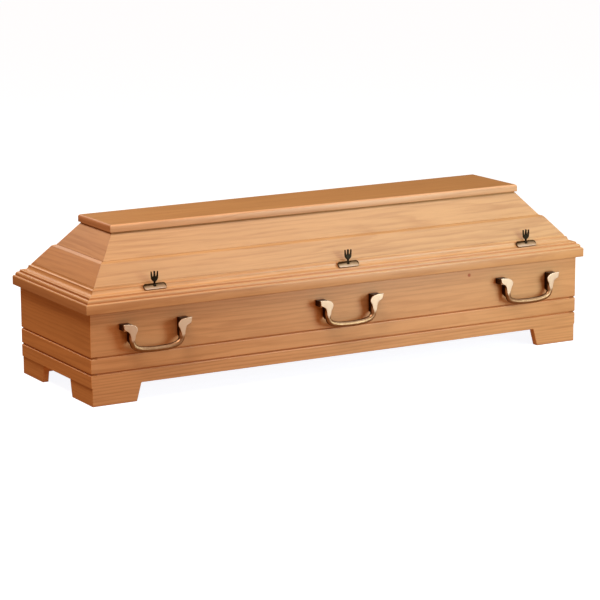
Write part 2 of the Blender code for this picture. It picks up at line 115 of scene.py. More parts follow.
# Handles, with heights measured down from the tips of the flared ends and depths out from the
# wall. The bar is cast 2 mm thicker all round than the solids' own
HANDLE_TOP_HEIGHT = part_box("handle_front_middle")[1].z
FITTING_X = (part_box("handle_front_head")[0].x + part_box("handle_front_head")[1].x) / 2
HANDLE_HALF_LENGTH = 0.130
HANDLE_STAND_OFF = 0.043
HANDLE_DROP = 0.0975
BAR_RADIUS = 0.01034
BAR_DEPTH = 0.0326
FLARE = 0.007
FLARE_DROP = 0.072
POST_WIDTH = 0.034
POST_HEIGHT = 0.020
POST_TOP = 0.004
POST_INSET = 0.003
WEB = 0.007
WEB_TOP = 0.008
WEB_DROP = 0.066
WEB_SLANT = 0.011
WEB_CLEARANCE = 0.001

# Lid screws and their plates
SCREW_SHIFT = 0.018
PLATE_LENGTH = 0.085
PLATE_WIDTH = 0.023
PLATE = 0.0045
PLATE_ROUND = 0.009
STEM_RADIUS = 0.00375
STEM_LENGTH = 0.0185
STEM_SIDES = 32
CROWN_WIDTH = 0.027
CROWN_HEIGHT = 0.036
CROWN = 0.0065

# Curved lines of a handle, as shares of its half length and of the drop of the line's lowest point
BAR_ROUTE = (
    (0.73, 0.19),
    (0.73, 0.42),
    (0.723, 0.63),
    (0.69, 0.787),
    (0.615, 0.885),
    (0.5, 0.943),
    (0.347, 0.98),
    (0.152, 0.995),
)
FLARE_CREST = (
    (1.0, 0.0),
    (0.869, 0.007),
    (0.754, 0.035),
    (0.654, 0.11),
    (0.592, 0.25),
    (0.6, 0.39),
    (0.646, 0.555),
    (0.669, 0.735),
    (0.723, 1.0),
)
FLARE_RETURN = (
    (0.723, 1.0),
    (0.781, 0.805),
    (0.796, 0.61),
    (0.823, 0.445),
    (0.877, 0.355),
    (0.969, 0.265),
)

# Lower edge of a handle's web, as shares of its depth and of its slant
WEB_CURVE = ((0.3, 0.45), (0.6, 0.8), (1.0, 1.0))

# Steps that crown the faces of the castings, each an inset from the edge and a rise
WING_DOME = ((0.0010, 0.0012), (0.0014, 0.0008), (0.0016, 0.0003))
PLATE_DOME = ((0.0005, 0.0012), (0.0010, 0.0011), (0.0018, 0.0008), (0.0028, 0.0004))

# Turned stem of a lid screw, as shares of its radius and as heights above its plate's seat
STEM_PROFILE = (
    (1.0, -2 * PLATE),
    (1.0, 0.0),
    (1.75, 0.6 * PLATE),
    (1.75, 1.1 * PLATE),
    (1.15, 1.9 * PLATE),
    (0.9, 0.6 * STEM_LENGTH),
    (1.1, 1.15 * STEM_LENGTH),
)

# Outline of a screw's crown, as shares of its half width and of its height
CROWN_OUTLINE = (
    (0.24, -0.03),
    (0.62, 0.087),
    (0.92, 0.244),
    (1.0, 0.542),
    (0.99, 0.97),
    (0.79, 0.97),
    (0.60, 0.50),
    (0.41, 0.45),
    (0.24, 0.50),
    (0.17, 1.0),
)

FOOT_FRONT, HEAD_FRONT, HEAD_BACK, FOOT_BACK = (-1, -1), (1, -1), (1, 1), (-1, 1)
CORNERS = (FOOT_FRONT, HEAD_FRONT, HEAD_BACK, FOOT_BACK)
LID_SIDES = {
    "front": (FOOT_FRONT, HEAD_FRONT),
    "back": (HEAD_BACK, FOOT_BACK),
    "foot": (FOOT_BACK, FOOT_FRONT),
    "head": (HEAD_FRONT, HEAD_BACK),
}
ENDS = ("foot", "head")

# Stain of each group of boards, first on the long sides and then at the ends: its tone as red,
# green and blue shares, and how much painted shade gathers in the corners. The tones are lit and
# shaded copies: darker at the ends, painted shade, and paler and bluer on the long sides and on
# faces turned up, painted light and sheen
STAINS_AND_SHADES = {
    "box": (((1.20, 1.24, 1.38), 0.85), ((0.92, 0.88, 0.74), 0.85)),
    "rim": (((1.15, 1.18, 1.24), 0.85), ((0.78, 0.76, 0.78), 0.85)),
    "moulding": (((1.06, 1.25, 1.50), 0.50), ((0.86, 0.95, 1.00), 0.50)),
    "lower_slope": (((0.97, 1.14, 1.30), 0.10), ((0.73, 0.74, 0.69), 0.60)),
    "upper_slope": (((0.97, 1.14, 1.30), 0.10), ((0.78, 0.85, 0.92), 0.60)),
    "lip": (((1.22, 1.42, 1.85), 0.10), ((0.80, 0.80, 0.95), 0.60)),
}
# Tone of the top board, and how much painted shade gathers in its corners
TOP_STAIN_AND_SHADE = ((0.74, 0.83, 0.82), 0.85)

# Seeds that give each board a log of its own. The four boards of a lid group count up from theirs
SEEDS = {
    "side_board_front": 3,
    "side_board_back": 11,
    "end_board_foot": 21,
    "end_board_head": 31,
    "bottom": 41,
    "top": 51,
    "lip": 53,
    "rim": 61,
    "moulding": 61,
    "lower_slope": 71,
    "upper_slope": 91,
}

# Share of its brightness that a casting keeps below the lower end of its upper part
LOW_BRIGHTNESS = 0.4

# Turn about the upright axis that brings each side of the coffin round to the front, in degrees
TURNS = {"front": 0, "back": 180, "foot": 90, "head": -90}

# Soft studio lights: azimuth and elevation in degrees, distance and size, watts, and tint
LAMPS = (
    ("key", 30, 8, 2.6, 1.2, 29.8, "#E1FFFE"),
    ("fill", -65, 60, 5.0, 2.6, 193.0, "#FFEFE3"),
    ("sheen", 52, 51, 4.0, 3.0, 43.0, "#D0F2FF"),
    ("window", -170, 31, 5.0, 3.0, 41.0, "#FFF3E2"),
)
LAMP_AIM = Vector((0, 0, 0.3))

# A long lens: its focal length in pixels of a picture 600 pixels wide, and its place
SENSOR = 36.0
FOCAL_PIXELS = 2441.4
PICTURE_PIXELS = 600
CAMERA_AIM = Vector((-0.01744, 0.0, 0.2118))
CAMERA_DISTANCE = 8.9385
CAMERA_ROLL = math.radians(-0.287)


def linear(code):
    """Turn an sRGB hex value into a linear colour with full alpha."""
    channels = [int(code[i : i + 2], 16) / 255 for i in (1, 3, 5)]
    return (*(c / 12.92 if c <= 0.04045 else ((c + 0.055) / 1.055) ** 2.4 for c in channels), 1.0)


def colour_property(name, description, code):
    """Return a colour setting that starts from an sRGB hex value."""
    return bpy.props.FloatVectorProperty(
        name=name, description=description, default=linear(code), subtype="COLOR", size=4
    )


class CoffinWood(bpy.types.PropertyGroup):
    """Looks of the oak"""

    early_wood: colour_property("Early wood", "Pale wood between the rings", "#CF9660")
    late_wood: colour_property("Late wood", "Darker line of each ring", "#C08652")
    streak: colour_property("Streak", "Stain caught in the open grain", "#A0622F")
    # Colour of the painted shade in the corners, where faces meet
    corner_shade: colour_property("Corner shade", "Painted shade in the corners", "#D9A877")
    knot: colour_property("Knot", "Heart of the pin knot in the front board", "#B4551C")
    ring_spacing: bpy.props.FloatProperty(
        name="Ring spacing", description="Width of one growth ring", default=0.0085, unit="LENGTH"
    )
    edge_round: bpy.props.FloatProperty(
        name="Edge rounding", description="Width of a sanded edge", default=0.0007, unit="LENGTH"
    )
    roughness: bpy.props.FloatProperty(
        name="Roughness", description="Roughness of the silk lacquer", default=0.42, subtype="FACTOR"
    )


class CoffinMetal(bpy.types.PropertyGroup):
    """Looks and places of the fittings"""

    # Polished brass goes on faces turned to the front as a painted highlight; aged brass on faces
    # turned back and near the wall, as painted shade as well as patina
    polished_and_lit_brass: colour_property("Polished brass", "Worn faces of the castings", "#ECD0B8")
    brass: colour_property("Brass", "Bars of the handles, half bright", "#B08A68")
    aged_and_shaded_brass: colour_property("Aged brass", "Hollows and undersides of the castings", "#38230F")
    bronze: colour_property("Bronze", "Dark bronzed lid screws", "#2B251D")
    fitting_spacing: bpy.props.FloatProperty(
        name="Fitting spacing",
        description="Distance from one fitting to the next along a side",
        default=FITTING_X,
        unit="LENGTH",
    )
    fitting_count: bpy.props.IntProperty(
        name="Fittings", description="Fittings along each side", default=3
    )


class CoffinStage(bpy.types.PropertyGroup):
    """Place of the camera"""

    azimuth: bpy.props.FloatProperty(
        name="Azimuth",
        description="Turn of the camera from the front towards the head end",
        default=math.radians(-29.96),
        subtype="ANGLE",
    )
    elevation: bpy.props.FloatProperty(
        name="Elevation",
        description="Height of the camera above the horizon",
        default=math.radians(11.96),
        subtype="ANGLE",
    )


def node(tree, kind, inputs=None, **settings):
    """Add a node with its settings, and link or set its inputs."""
    made = tree.nodes.new(kind)
    for name, value in settings.items():
        setattr(made, name, value)
    for key, value in (inputs or {}).items():
        if isinstance(value, bpy.types.NodeSocket):
            tree.links.new(value, made.inputs[key])
        else:
            made.inputs[key].default_value = value
    return made


def new_material(name):
    """Make a material and return it with its tree and its shader."""
    material = bpy.data.materials.new(name)
    material.use_nodes = True
    tree = material.node_tree
    return material, tree, tree.nodes["Principled BSDF"]


def oak(name, side, tilt, face, middle, joints, stain_and_shade, seed, knot=None):
    """Make lacquered oak, stained warm: planks of straight and arched grain, glued edge to edge.

    The eye gets a honey brown that changes a little from plank to plank, with soft darker lines
    along each one, under the silk shine of clear lacquer.

    The pattern is read in grain space: +X along the grain, -Y out of the face, +Z up the board. Tilt
    is how far the face leans back, in degrees. Face is how far out it lies, and middle its middle up
    the board. Joints are the places up the board where one plank ends and the next begins. The stain
    pair is its tone, partly painted light and shade, and how much painted shade gathers in the
    corners.
    """
    wood = bpy.context.scene.coffin_wood
    tone, corner_shade = stain_and_shade
    material, tree, shader = new_material(name)
    turned = Matrix.Rotation(math.radians(tilt), 3, "X") @ Matrix.Rotation(
        math.radians(TURNS[side]), 3, "Z"
    )
    where = node(tree, "ShaderNodeTexCoord").outputs["Object"]
    grain = node(
        tree, "ShaderNodeMapping", {"Vector": where, "Rotation": turned.to_euler()}
    ).outputs[0]
    height = node(tree, "ShaderNodeSeparateXYZ", {0: grain}).outputs["Z"]
    plank = float(seed)
    for joint in joints:
        above = node(tree, "ShaderNodeMath", {0: height, 1: joint}, operation="GREATER_THAN")
        plank = node(
            tree, "ShaderNodeMath", {0: plank, 1: above.outputs[0]}, operation="ADD"
        ).outputs[0]
    dice = node(tree, "ShaderNodeTexWhiteNoise", {"W": plank}, noise_dimensions="1D").outputs[
        "Color"
    ]

    # Each plank's log has its heart 90 to 190 mm behind the face, at another height
    heart = node(
        tree,
        "ShaderNodeVectorMath",
        {0: dice, 1: (0.0, 0.10, 0.16), 2: (0.0, 0.09 - face, middle - 0.08)},
        operation="MULTIPLY_ADD",
    ).outputs[0]
    log = node(tree, "ShaderNodeVectorMath", {0: grain, 1: heart}, operation="SUBTRACT").outputs[0]
    level = node(
        tree, "ShaderNodeVectorMath", {0: log, 1: (0.0, 1.0, 1.0)}, operation="MULTIPLY"
    ).outputs[0]
    radius = node(tree, "ShaderNodeVectorMath", {0: level}, operation="LENGTH").outputs["Value"]

    # Patterns by the length and width of their features: the trunk's bend, ripples in the rings,
    # stained streaks, and open pores drawn three times as wide as real ones so that they show.
    # Each plank has them from another place
    patterns = {}
    for label, length, width, detail in (
        ("bend", 1.10, 0.20, 2.0),
        ("ripple", 0.09, 0.014, 3.0),
        ("streak", 0.30, 0.011, 3.0),
        ("cloud", 0.30, 0.07, 2.0),
        ("pore", 0.040, 0.0018, 2.0),
    ):
        stretched = node(
            tree,
            "ShaderNodeVectorMath",
            {0: grain, 1: (1 / length, 1 / width, 1 / width)},
            operation="MULTIPLY",
        ).outputs[0]
        apart = node(
            tree,
            "ShaderNodeVectorMath",
            {0: dice, 1: (53.0, 31.0, 47.0), 2: stretched},
            operation="MULTIPLY_ADD",
        ).outputs[0]
        patterns[label] = node(
            tree, "ShaderNodeTexNoise", {"Vector": apart, "Scale": 1.0, "Detail": detail}
        ).outputs["Fac"]

    # The bend wanders by 45 mm and the ripples by 5 mm
    for label, reach in (("bend", 0.045), ("ripple", 0.005)):
        radius = node(
            tree,
            "ShaderNodeMath",
            {0: patterns[label], 1: reach, 2: radius},
            operation="MULTIPLY_ADD",
        ).outputs[0]
    rings = node(
        tree, "ShaderNodeMath", {0: radius, 1: wood.ring_spacing}, operation="DIVIDE"
    ).outputs[0]
    ring = node(tree, "ShaderNodeMath", {0: rings}, operation="FRACT").outputs[0]
    late = node(tree, "ShaderNodeValToRGB", {"Fac": ring})
    ramp = late.color_ramp.elements
    ramp[0].position, ramp[0].color = 0.0, (0.3, 0.3, 0.3, 1)
    ramp[1].position, ramp[1].color = 1.0, (0.5, 0.5, 0.5, 1)
    for position, value in ((0.15, 0.0), (0.55, 0.2), (0.85, 1.0), (0.95, 0.9)):
        ramp.new(position).color = (value, value, value, 1)
    # The rings fade in and out, as the stain took them unevenly
    clear = node(
        tree,
        "ShaderNodeMapRange",
        {"Value": patterns["bend"], "From Min": 0.35, "From Max": 0.65, "To Min": 0.25},
    ).outputs[0]
    faded = node(
        tree, "ShaderNodeMath", {0: late.outputs["Color"], 1: clear}, operation="MULTIPLY"
    ).outputs[0]
    ringed = node(
        tree, "ShaderNodeMix", {0: faded, 6: wood.early_wood, 7: wood.late_wood}, data_type="RGBA"
    ).outputs[2]
    stained = node(
        tree,
        "ShaderNodeMapRange",
        {"Value": patterns["streak"], "From Min": 0.48, "From Max": 0.80, "To Max": 0.5},
    ).outputs[0]
    streaked = node(
        tree, "ShaderNodeMix", {0: stained, 6: ringed, 7: wood.streak}, data_type="RGBA"
    ).outputs[2]

    # Tone: one value for the plank, then clouds and pores
    shade = node(tree, "ShaderNodeSeparateColor", {0: dice}).outputs["Green"]
    for amount, source in ((0.07, shade), (0.16, patterns["cloud"]), (0.12, patterns["pore"])):
        factor = node(
            tree,
            "ShaderNodeMapRange",
            {"Value": source, "To Min": 1 - amount / 2, "To Max": 1 + amount / 2},
        ).outputs[0]
        streaked = node(
            tree, "ShaderNodeVectorMath", {0: streaked, "Scale": factor}, operation="SCALE"
        ).outputs[0]
    toned = node(
        tree, "ShaderNodeVectorMath", {0: streaked, 1: tone}, operation="MULTIPLY"
    ).outputs[0]
    # Painted shade in the corners: darker within 9 mm of another face, where shade falls and stain
    # and lacquer pool
    air = node(tree, "ShaderNodeAmbientOcclusion", {"Distance": 0.009}, samples=8).outputs["AO"]
    corner = node(
        tree,
        "ShaderNodeMapRange",
        {"Value": air, "From Min": 0.92, "From Max": 0.45, "To Max": corner_shade},
    ).outputs[0]
    toned = node(
        tree,
        "ShaderNodeMix",
        {0: corner, 6: toned, 7: wood.corner_shade},
        data_type="RGBA",
        blend_type="MULTIPLY",
    ).outputs[2]
    if knot:
        # A pin knot 12 mm across, with a soft edge
        off = node(tree, "ShaderNodeVectorMath", {0: grain, 1: knot}, operation="DISTANCE")
        near = node(
            tree,
            "ShaderNodeMapRange",
            {"Value": off.outputs["Value"], "From Min": 0.0085, "From Max": 0.004},
        ).outputs[0]
        toned = node(
            tree, "ShaderNodeMix", {0: near, 6: toned, 7: wood.knot}, data_type="RGBA"
        ).outputs[2]
    bump = node(
        tree, "ShaderNodeBump", {"Height": patterns["pore"], "Strength": 0.3, "Distance": 0.0002}
    ).outputs[0]
    tree.links.new(toned, shader.inputs["Base Color"])
    tree.links.new(bump, shader.inputs["Normal"])
    shader.inputs["Roughness"].default_value = wood.roughness
    shader.inputs["IOR"].default_value = 1.5
    shader.inputs["Coat Weight"].default_value = 0.35
    shader.inputs["Coat Roughness"].default_value = 0.32
    return material


def cast_brass():
    """Make cast brass: polished by hands on its faces and browned by lacquer and age in its hollows,
    with painted light and shade laid over both.

    The eye gets cream flares and a golden brown bar, nearly black behind and underneath. The faces
    turned to the front and off the wall are painted bright, a painted highlight, and those turned
    back or down and near the wall dark, painted shade. The mesh's point attribute read here says how
    bright each point is painted.
    """
    metal = bpy.context.scene.coffin_metal
    material, tree, shader = new_material("antique_cast_brass")
    where = node(tree, "ShaderNodeTexCoord").outputs["Object"]
    worn_and_lit = node(tree, "ShaderNodeAttribute", attribute_name="wear_and_painted_light").outputs["Fac"]
    # Tarnish in patches about 12 mm across
    cloud = node(
        tree, "ShaderNodeTexNoise", {"Vector": where, "Scale": 1 / 0.012, "Detail": 3.0}
    ).outputs["Fac"]
    uneven = node(
        tree, "ShaderNodeMath", {0: cloud, 1: 0.24, 2: -0.12}, operation="MULTIPLY_ADD"
    ).outputs[0]
    bright = node(tree, "ShaderNodeMath", {0: worn_and_lit, 1: uneven}, operation="ADD").outputs[0]
    tones = node(tree, "ShaderNodeValToRGB", {"Fac": bright})
    ramp = tones.color_ramp.elements
    ramp[0].position, ramp[0].color = 0.08, metal.aged_and_shaded_brass
    ramp[1].position, ramp[1].color = 0.85, metal.polished_and_lit_brass
    ramp.new(0.4).color = metal.brass
    rough = node(
        tree, "ShaderNodeMapRange", {"Value": bright, "To Min": 0.40, "To Max": 0.48}
    ).outputs[0]
    # The skin of a sand casting, with dimples about 1.5 mm apart
    skin = node(
        tree, "ShaderNodeTexNoise", {"Vector": where, "Scale": 1 / 0.0015, "Detail": 2.0}
    ).outputs["Fac"]
    bump = node(
        tree, "ShaderNodeBump", {"Height": skin, "Strength": 0.25, "Distance": 0.0002}
    ).outputs[0]
    tree.links.new(tones.outputs["Color"], shader.inputs["Base Color"])
    tree.links.new(rough, shader.inputs["Roughness"])
    tree.links.new(bump, shader.inputs["Normal"])
    shader.inputs["Metallic"].default_value = 1.0
    return material


def dark_bronze():
    """Make dark bronzed steel, nearly black, with a dull shine and a trace of wear."""
    metal = bpy.context.scene.coffin_metal
    material, tree, shader = new_material("dark_bronzed_steel")
    where = node(tree, "ShaderNodeTexCoord").outputs["Object"]
    # Wear in patches about 4 mm across
    cloud = node(
        tree, "ShaderNodeTexNoise", {"Vector": where, "Scale": 1 / 0.004, "Detail": 3.0}
    ).outputs["Fac"]
    worn_and_lit = node(
        tree,
        "ShaderNodeMapRange",
        {"Value": cloud, "From Min": 0.55, "From Max": 0.8, "To Max": 0.5},
    ).outputs[0]
    colour = node(
        tree,
        "ShaderNodeMix",
        {0: worn_and_lit, 6: metal.bronze, 7: metal.aged_and_shaded_brass},
        data_type="RGBA",
    ).outputs[2]
    tree.links.new(colour, shader.inputs["Base Color"])
    shader.inputs["Metallic"].default_value = 1.0
    shader.inputs["Roughness"].default_value = 0.4
    return material


def half_width(x):
    """Return the half width of the box at x."""
    return (FOOT_END_WIDTH + HEAD_END_WIDTH) / 4 + x * math.tan(TAPER)


def side_plane(x, side, inset):
    """Return the y of the plane that lies inset inside a long side of the box."""
    return side * (half_width(x) - inset / math.cos(TAPER))


def plan(corner, inset):
    """Return x and y of a corner of the box plan, drawn in by inset on both of its sides."""
    end, side = corner
    x = end * (BOX_HALF - inset)
    return x, side_plane(x, side, inset)


def arc(centre, radii, start, stop, steps=10):
    """Return points on part of an ellipse. Angles are in degrees."""
    points = []
    for step in range(steps + 1):
        angle = math.radians(start + (stop - start) * step / steps)
        points.append(
            (centre[0] + radii[0] * math.cos(angle), centre[1] + radii[1] * math.sin(angle))
        )
    return points


def smooth(points, steps=8):
    """Return points on a smooth curve through the given ones."""
    ends = [2 * Vector(points[0]) - Vector(points[1]), 2 * Vector(points[-1]) - Vector(points[-2])]
    knots = [ends[0], *(Vector(point) for point in points), ends[1]]
    curve = []
    for a, b, c, d in zip(knots, knots[1:], knots[2:], knots[3:]):
        for step in range(steps):
            t = step / steps
            square = (2 * a - 5 * b + 4 * c - d) * t**2
            cube = (3 * b - a - 3 * c + d) * t**3
            curve.append((2 * b + (c - a) * t + square + cube) / 2)
    return [*curve, Vector(points[-1])]


def to_object(bm, name, sharp=35):
    """Turn a closed bmesh into an object with its faces pointing out and its curves smooth."""
    bmesh.ops.recalc_face_normals(bm, faces=bm.faces)
    mesh = bpy.data.meshes.new(name)
    bm.to_mesh(mesh)
    bm.free()
    mesh.shade_smooth()
    mesh.set_sharp_from_angle(angle=math.radians(sharp))
    piece = bpy.data.objects.new(name, mesh)
    bpy.context.scene.collection.objects.link(piece)
    return piece


def bake(piece):
    """Turn a piece's modifiers into its mesh."""
    graph = bpy.context.evaluated_depsgraph_get()
    mesh = bpy.data.meshes.new_from_object(
        piece.evaluated_get(graph), preserve_all_data_layers=True, depsgraph=graph
    )
    piece.modifiers.clear()
    piece.data = mesh
    mesh.name = piece.name
    return piece


def settle(piece, slot, *nodes, finishes=()):
    """Finish a piece, put it in its CAD nodes' place and let it ride with the coffin."""
    for finish in finishes:
        piece.data.materials.append(finish)
    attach(piece, "root")
    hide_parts(*nodes)


def skin(bm, loops):
    """Join loops of points with faces in a bmesh, and close both ends."""
    rings = [[bm.verts.new(point) for point in loop] for loop in loops]
    for first, second in zip(rings, rings[1:]):
        for i in range(len(first)):
            j = (i + 1) % len(first)
            bm.faces.new((first[i], first[j], second[j], second[i]))
    bm.faces.new(rings[0][::-1])
    bm.faces.new(rings[-1])


def loft(name, loops):
    """Make an object from the loops of points along it."""
    bm = bmesh.new()
    skin(bm, loops)
    return to_object(bm, name)


def sanded(node_name, name, flush=False):
    """Copy a CAD board and sand its edges round. A flush board has its corner joints closed."""
    bm = bmesh.new()
    bm.from_mesh(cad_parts[node_name].data)
    bmesh.ops.remove_doubles(bm, verts=bm.verts, dist=WELD)
    bmesh.ops.dissolve_limit(bm, angle_limit=FLAT_ANGLE, verts=bm.verts, edges=bm.edges)
    # The side boards are glued between the end boards and planed flush, so each joint is a hair
    # line with sharp edges, just as wide on either side of the place where they meet
    glued = []
    for vert in bm.verts:
        past = abs(vert.co.x) - BOX_HALF + BOARD
        if flush and -0.002 < past < 0.001:
            reach = BOX_HALF - BOARD + math.copysign(HAIR_LINE, past + JOINT / 2)
            vert.co.x = math.copysign(reach, vert.co.x)
            glued.append(vert)
    bmesh.ops.dissolve_degenerate(bm, dist=WELD, edges=bm.edges)
    glued = {vert for vert in glued if vert.is_valid}
    weight = bm.edges.layers.float.new("bevel_weight_edge")
    for edge in bm.edges:
        joint = all(vert in glued for vert in edge.verts)
        edge[weight] = 0.0 if joint or edge.calc_face_angle() < SANDED_ANGLE else 1.0
    piece = to_object(bm, name)
    rounding = piece.modifiers.new("sanded edges", "BEVEL")
    rounding.width = bpy.context.scene.coffin_wood.edge_round
    rounding.segments = 2
    rounding.limit_method = "WEIGHT"
    flat = piece.modifiers.new("flat faces", "WEIGHTED_NORMAL")
    flat.weight = 100
    flat.keep_sharp = True
    return bake(piece)


def moulding():
    """Return the outer profile of the rim, its cove's two edges and the foot of the slope."""
    x, z = -RIM_OVERHANG, BOX_HEIGHT + JOINT
    points = arc((x + RIM_EDGE, z + RIM_EDGE), (RIM_EDGE, RIM_EDGE), 270, 180, 4)
    z += RIM_FACE
    points += arc((x + RIM_ROUND, z - RIM_ROUND), (RIM_ROUND, RIM_ROUND), 180, 90)
    x += RIM_LEDGE
    points.append((x, z))
    z += QUIRK_RISE
    points += arc((x + BEAD_RADIUS, z), (BEAD_RADIUS, BEAD_RADIUS), 180, 90)
    x, z = x + BEAD_RADIUS + BEAD_LEDGE, z + BEAD_RADIUS
    points.append((x, z))
    z += STEP_RISE
    points += arc((x + STEP_ROUND, z), (STEP_ROUND, STEP_ROUND), 180, 90)
    x, z = x + STEP_ROUND + STEP_LEDGE, z + STEP_ROUND
    cove_foot = Vector((x, z))
    points += arc((x, z + COVE_HEIGHT), (COVE_WIDTH, COVE_HEIGHT), 270, 360)
    x, z = x + COVE_WIDTH, z + COVE_HEIGHT
    cove_head = Vector((x, z))
    x, z = x + FILLET_WIDTH, z + FILLET_RISE
    points.append((x, z))
    slope_foot = Vector((x + SLOPE_QUIRK_WIDTH, z + SLOPE_QUIRK_RISE))
    return points, cove_foot, cove_head, slope_foot


def rim_profile():
    """Return the whole section of the rim."""
    points, _, _, slope_foot = moulding()
    seat = slope_foot - SLOPE_UP * JOINT
    seat_in = seat + SLOPE_IN * SLOPE_BOARD
    inner = BOARD + RIM_INSIDE
    low = seat_in + SLOPE_UP * ((inner - seat_in.x) / SLOPE_UP.x)
    return [*points, seat, seat_in, low, Vector((inner, BOX_HEIGHT + JOINT))]


def mitred(name, profile, corners):
    """Make a board of the lid: its profile runs from one mitred corner to the next."""
    loops = []
    for here, there in (corners, corners[::-1]):
        loop = []
        for inset, height in profile:
            point = Vector((*plan(here, inset), height))
            other = Vector((*plan(there, inset), height))
            loop.append(point + (other - point).normalized() * JOINT / math.sqrt(2))
        loops.append(loop)
    return loft(name, loops)


def top_board(name):
    """Make the flat top board with its rounded lip."""
    lip_inset = BOX_HALF - TOP_HIGH.x
    under, top = TOP_LOW.z, TOP_HIGH.z
    layers = arc((lip_inset + LIP_EDGE, under + LIP_EDGE), (LIP_EDGE, LIP_EDGE), 270, 180, 4)
    layers += arc((lip_inset + LIP_ROUND, top - LIP_ROUND), (LIP_ROUND, LIP_ROUND), 180, 90, 12)
    return loft(name, [[(*plan(corner, inset), z) for corner in CORNERS] for inset, z in layers])


def slab(bm, outline, thickness, place, dome=()):
    """Add an upright slab with the given outline of (x, z) points to a bmesh, centred on y 0.

    A dome is a list of steps, each an inset from the edge and a rise, that swell its front.
    """
    front = sum(rise for _, rise in dome) - thickness / 2
    face = bm.faces.new([bm.verts.new((x, front, z)) for x, z in outline])
    region = [face]
    for inset, rise in dome:
        region += bmesh.ops.inset_region(bm, faces=[face], thickness=inset)["faces"]
        bmesh.ops.translate(bm, verts=face.verts, vec=(0.0, -rise, 0.0))
    swollen = {vert for item in region for vert in item.verts}
    grown = bmesh.ops.extrude_face_region(bm, geom=region)["geom"]
    back = [item for item in grown if isinstance(item, bmesh.types.BMVert)]
    for vert in back:
        vert.co.y = thickness / 2
    bmesh.ops.transform(bm, matrix=place, verts=[*swollen, *back])


def tube(bm, route, radius, sides=24):
    """Add a round bar along a route to a bmesh, with flat ends."""
    loops = []
    for i, point in enumerate(route):
        along = (route[min(i + 1, len(route) - 1)] - route[max(i - 1, 0)]).normalized()
        out = Vector((0, -1, 0))
        across = along.cross(out).normalized()
        turns = [math.tau * step / sides for step in range(sides)]
        loops.append(
            [point + (out * math.cos(turn) + across * math.sin(turn)) * radius for turn in turns]
        )
    skin(bm, loops)


def cast(bm, name, grit, keep):
    """Fuse the solids of a bmesh into one casting with soft edges, about as fine as the grit."""
    piece = to_object(bm, name, 180)
    fuse = piece.modifiers.new("fuse", "REMESH")
    fuse.mode = "VOXEL"
    fuse.voxel_size = grit
    fuse.use_smooth_shade = True
    soften = piece.modifiers.new("soften", "SMOOTH")
    soften.factor = 0.5
    soften.iterations = 5
    thin = piece.modifiers.new("thin", "DECIMATE")
    thin.ratio = keep
    return bake(piece)


def share(value, low, high):
    """Return how far a value has come from low to high, kept from 0 to 1."""
    return max(0.0, min(1.0, (value - low) / (high - low)))


def paint_wear_and_light(piece, facing, proud, upper_part):
    """Write how bright each point is painted, for wear and for light and shade.

    It's bright where it faces out and stands proud of the wall, a painted highlight, and dark where
    it turns back or lies near the wall, painted shade. Below the upper part's lower end it keeps
    only part of its brightness. Each is given as the two values where the brightness starts and
    where it's full.
    """
    mesh = piece.data
    wear_and_painted_light = mesh.attributes.new("wear_and_painted_light", "FLOAT", "POINT")
    for vert, value in zip(mesh.vertices, wear_and_painted_light.data):
        bright = share(-vert.normal.y, *facing) * share(-vert.co.y, *proud)
        value.value = bright * (LOW_BRIGHTNESS + (1 - LOW_BRIGHTNESS) * share(vert.co.z, *upper_part))
    return piece


def handle_master():
    """Make one handle casting, with its origin on the wall between the tips."""
    bm = bmesh.new()
    half = [(HANDLE_HALF_LENGTH * out, -HANDLE_DROP * down) for out, down in BAR_ROUTE]
    line = smooth([*((-x, z) for x, z in half), (0.0, -HANDLE_DROP), *half[::-1]])
    tube(bm, [Vector((x, -BAR_DEPTH, z)) for x, z in line], BAR_RADIUS)
    crest = [*smooth(FLARE_CREST), *smooth(FLARE_RETURN)[1:]]
    web_depth = HANDLE_STAND_OFF - FLARE
    web = [
        (-WEB_CLEARANCE, -WEB_TOP),
        (-WEB_CLEARANCE, -WEB_DROP),
        *((-deep * web_depth, -WEB_DROP - down * WEB_SLANT) for deep, down in WEB_CURVE),
        (-web_depth, -WEB_TOP),
    ]
    for hand in (-1, 1):
        wing = [(hand * HANDLE_HALF_LENGTH * out, -FLARE_DROP * down) for out, down in crest]
        front = Matrix.Translation((0, FLARE / 2 - HANDLE_STAND_OFF, 0))
        slab(bm, wing, FLARE, front, WING_DOME)
        arm = hand * HANDLE_HALF_LENGTH * BAR_ROUTE[0][0]
        quarter = Matrix.Translation((arm, 0, 0)) @ Matrix.Rotation(math.radians(90), 4, "Z")
        slab(bm, web, WEB, quarter)
        post_x = hand * (HANDLE_HALF_LENGTH - POST_INSET - POST_WIDTH / 2)
        post_depth = HANDLE_STAND_OFF - FLARE / 2 - JOINT
        size = Matrix.Diagonal((POST_WIDTH, post_depth, POST_HEIGHT, 1))
        middle = (post_x, -JOINT - post_depth / 2, -POST_TOP - POST_HEIGHT / 2)
        bmesh.ops.create_cube(bm, size=1.0, matrix=Matrix.Translation(middle) @ size)
    return paint_wear_and_light(
        cast(bm, "handle", grit=0.0010, keep=0.4),
        facing=(-0.1, 0.7),
        proud=(0.4 * HANDLE_STAND_OFF, 0.7 * HANDLE_STAND_OFF),
        upper_part=(-0.92 * FLARE_DROP, -0.72 * FLARE_DROP),
    )


def screw_seat():
    """Return the middle of a plate's seat, as inset and height, and its angle."""
    _, cove_foot, cove_head, _ = moulding()
    along = (cove_head - cove_foot).normalized()
    middle = cove_foot + along * (PLATE_WIDTH / 2 + JOINT)
    return middle.x, middle.y, math.atan2(along.y, along.x)


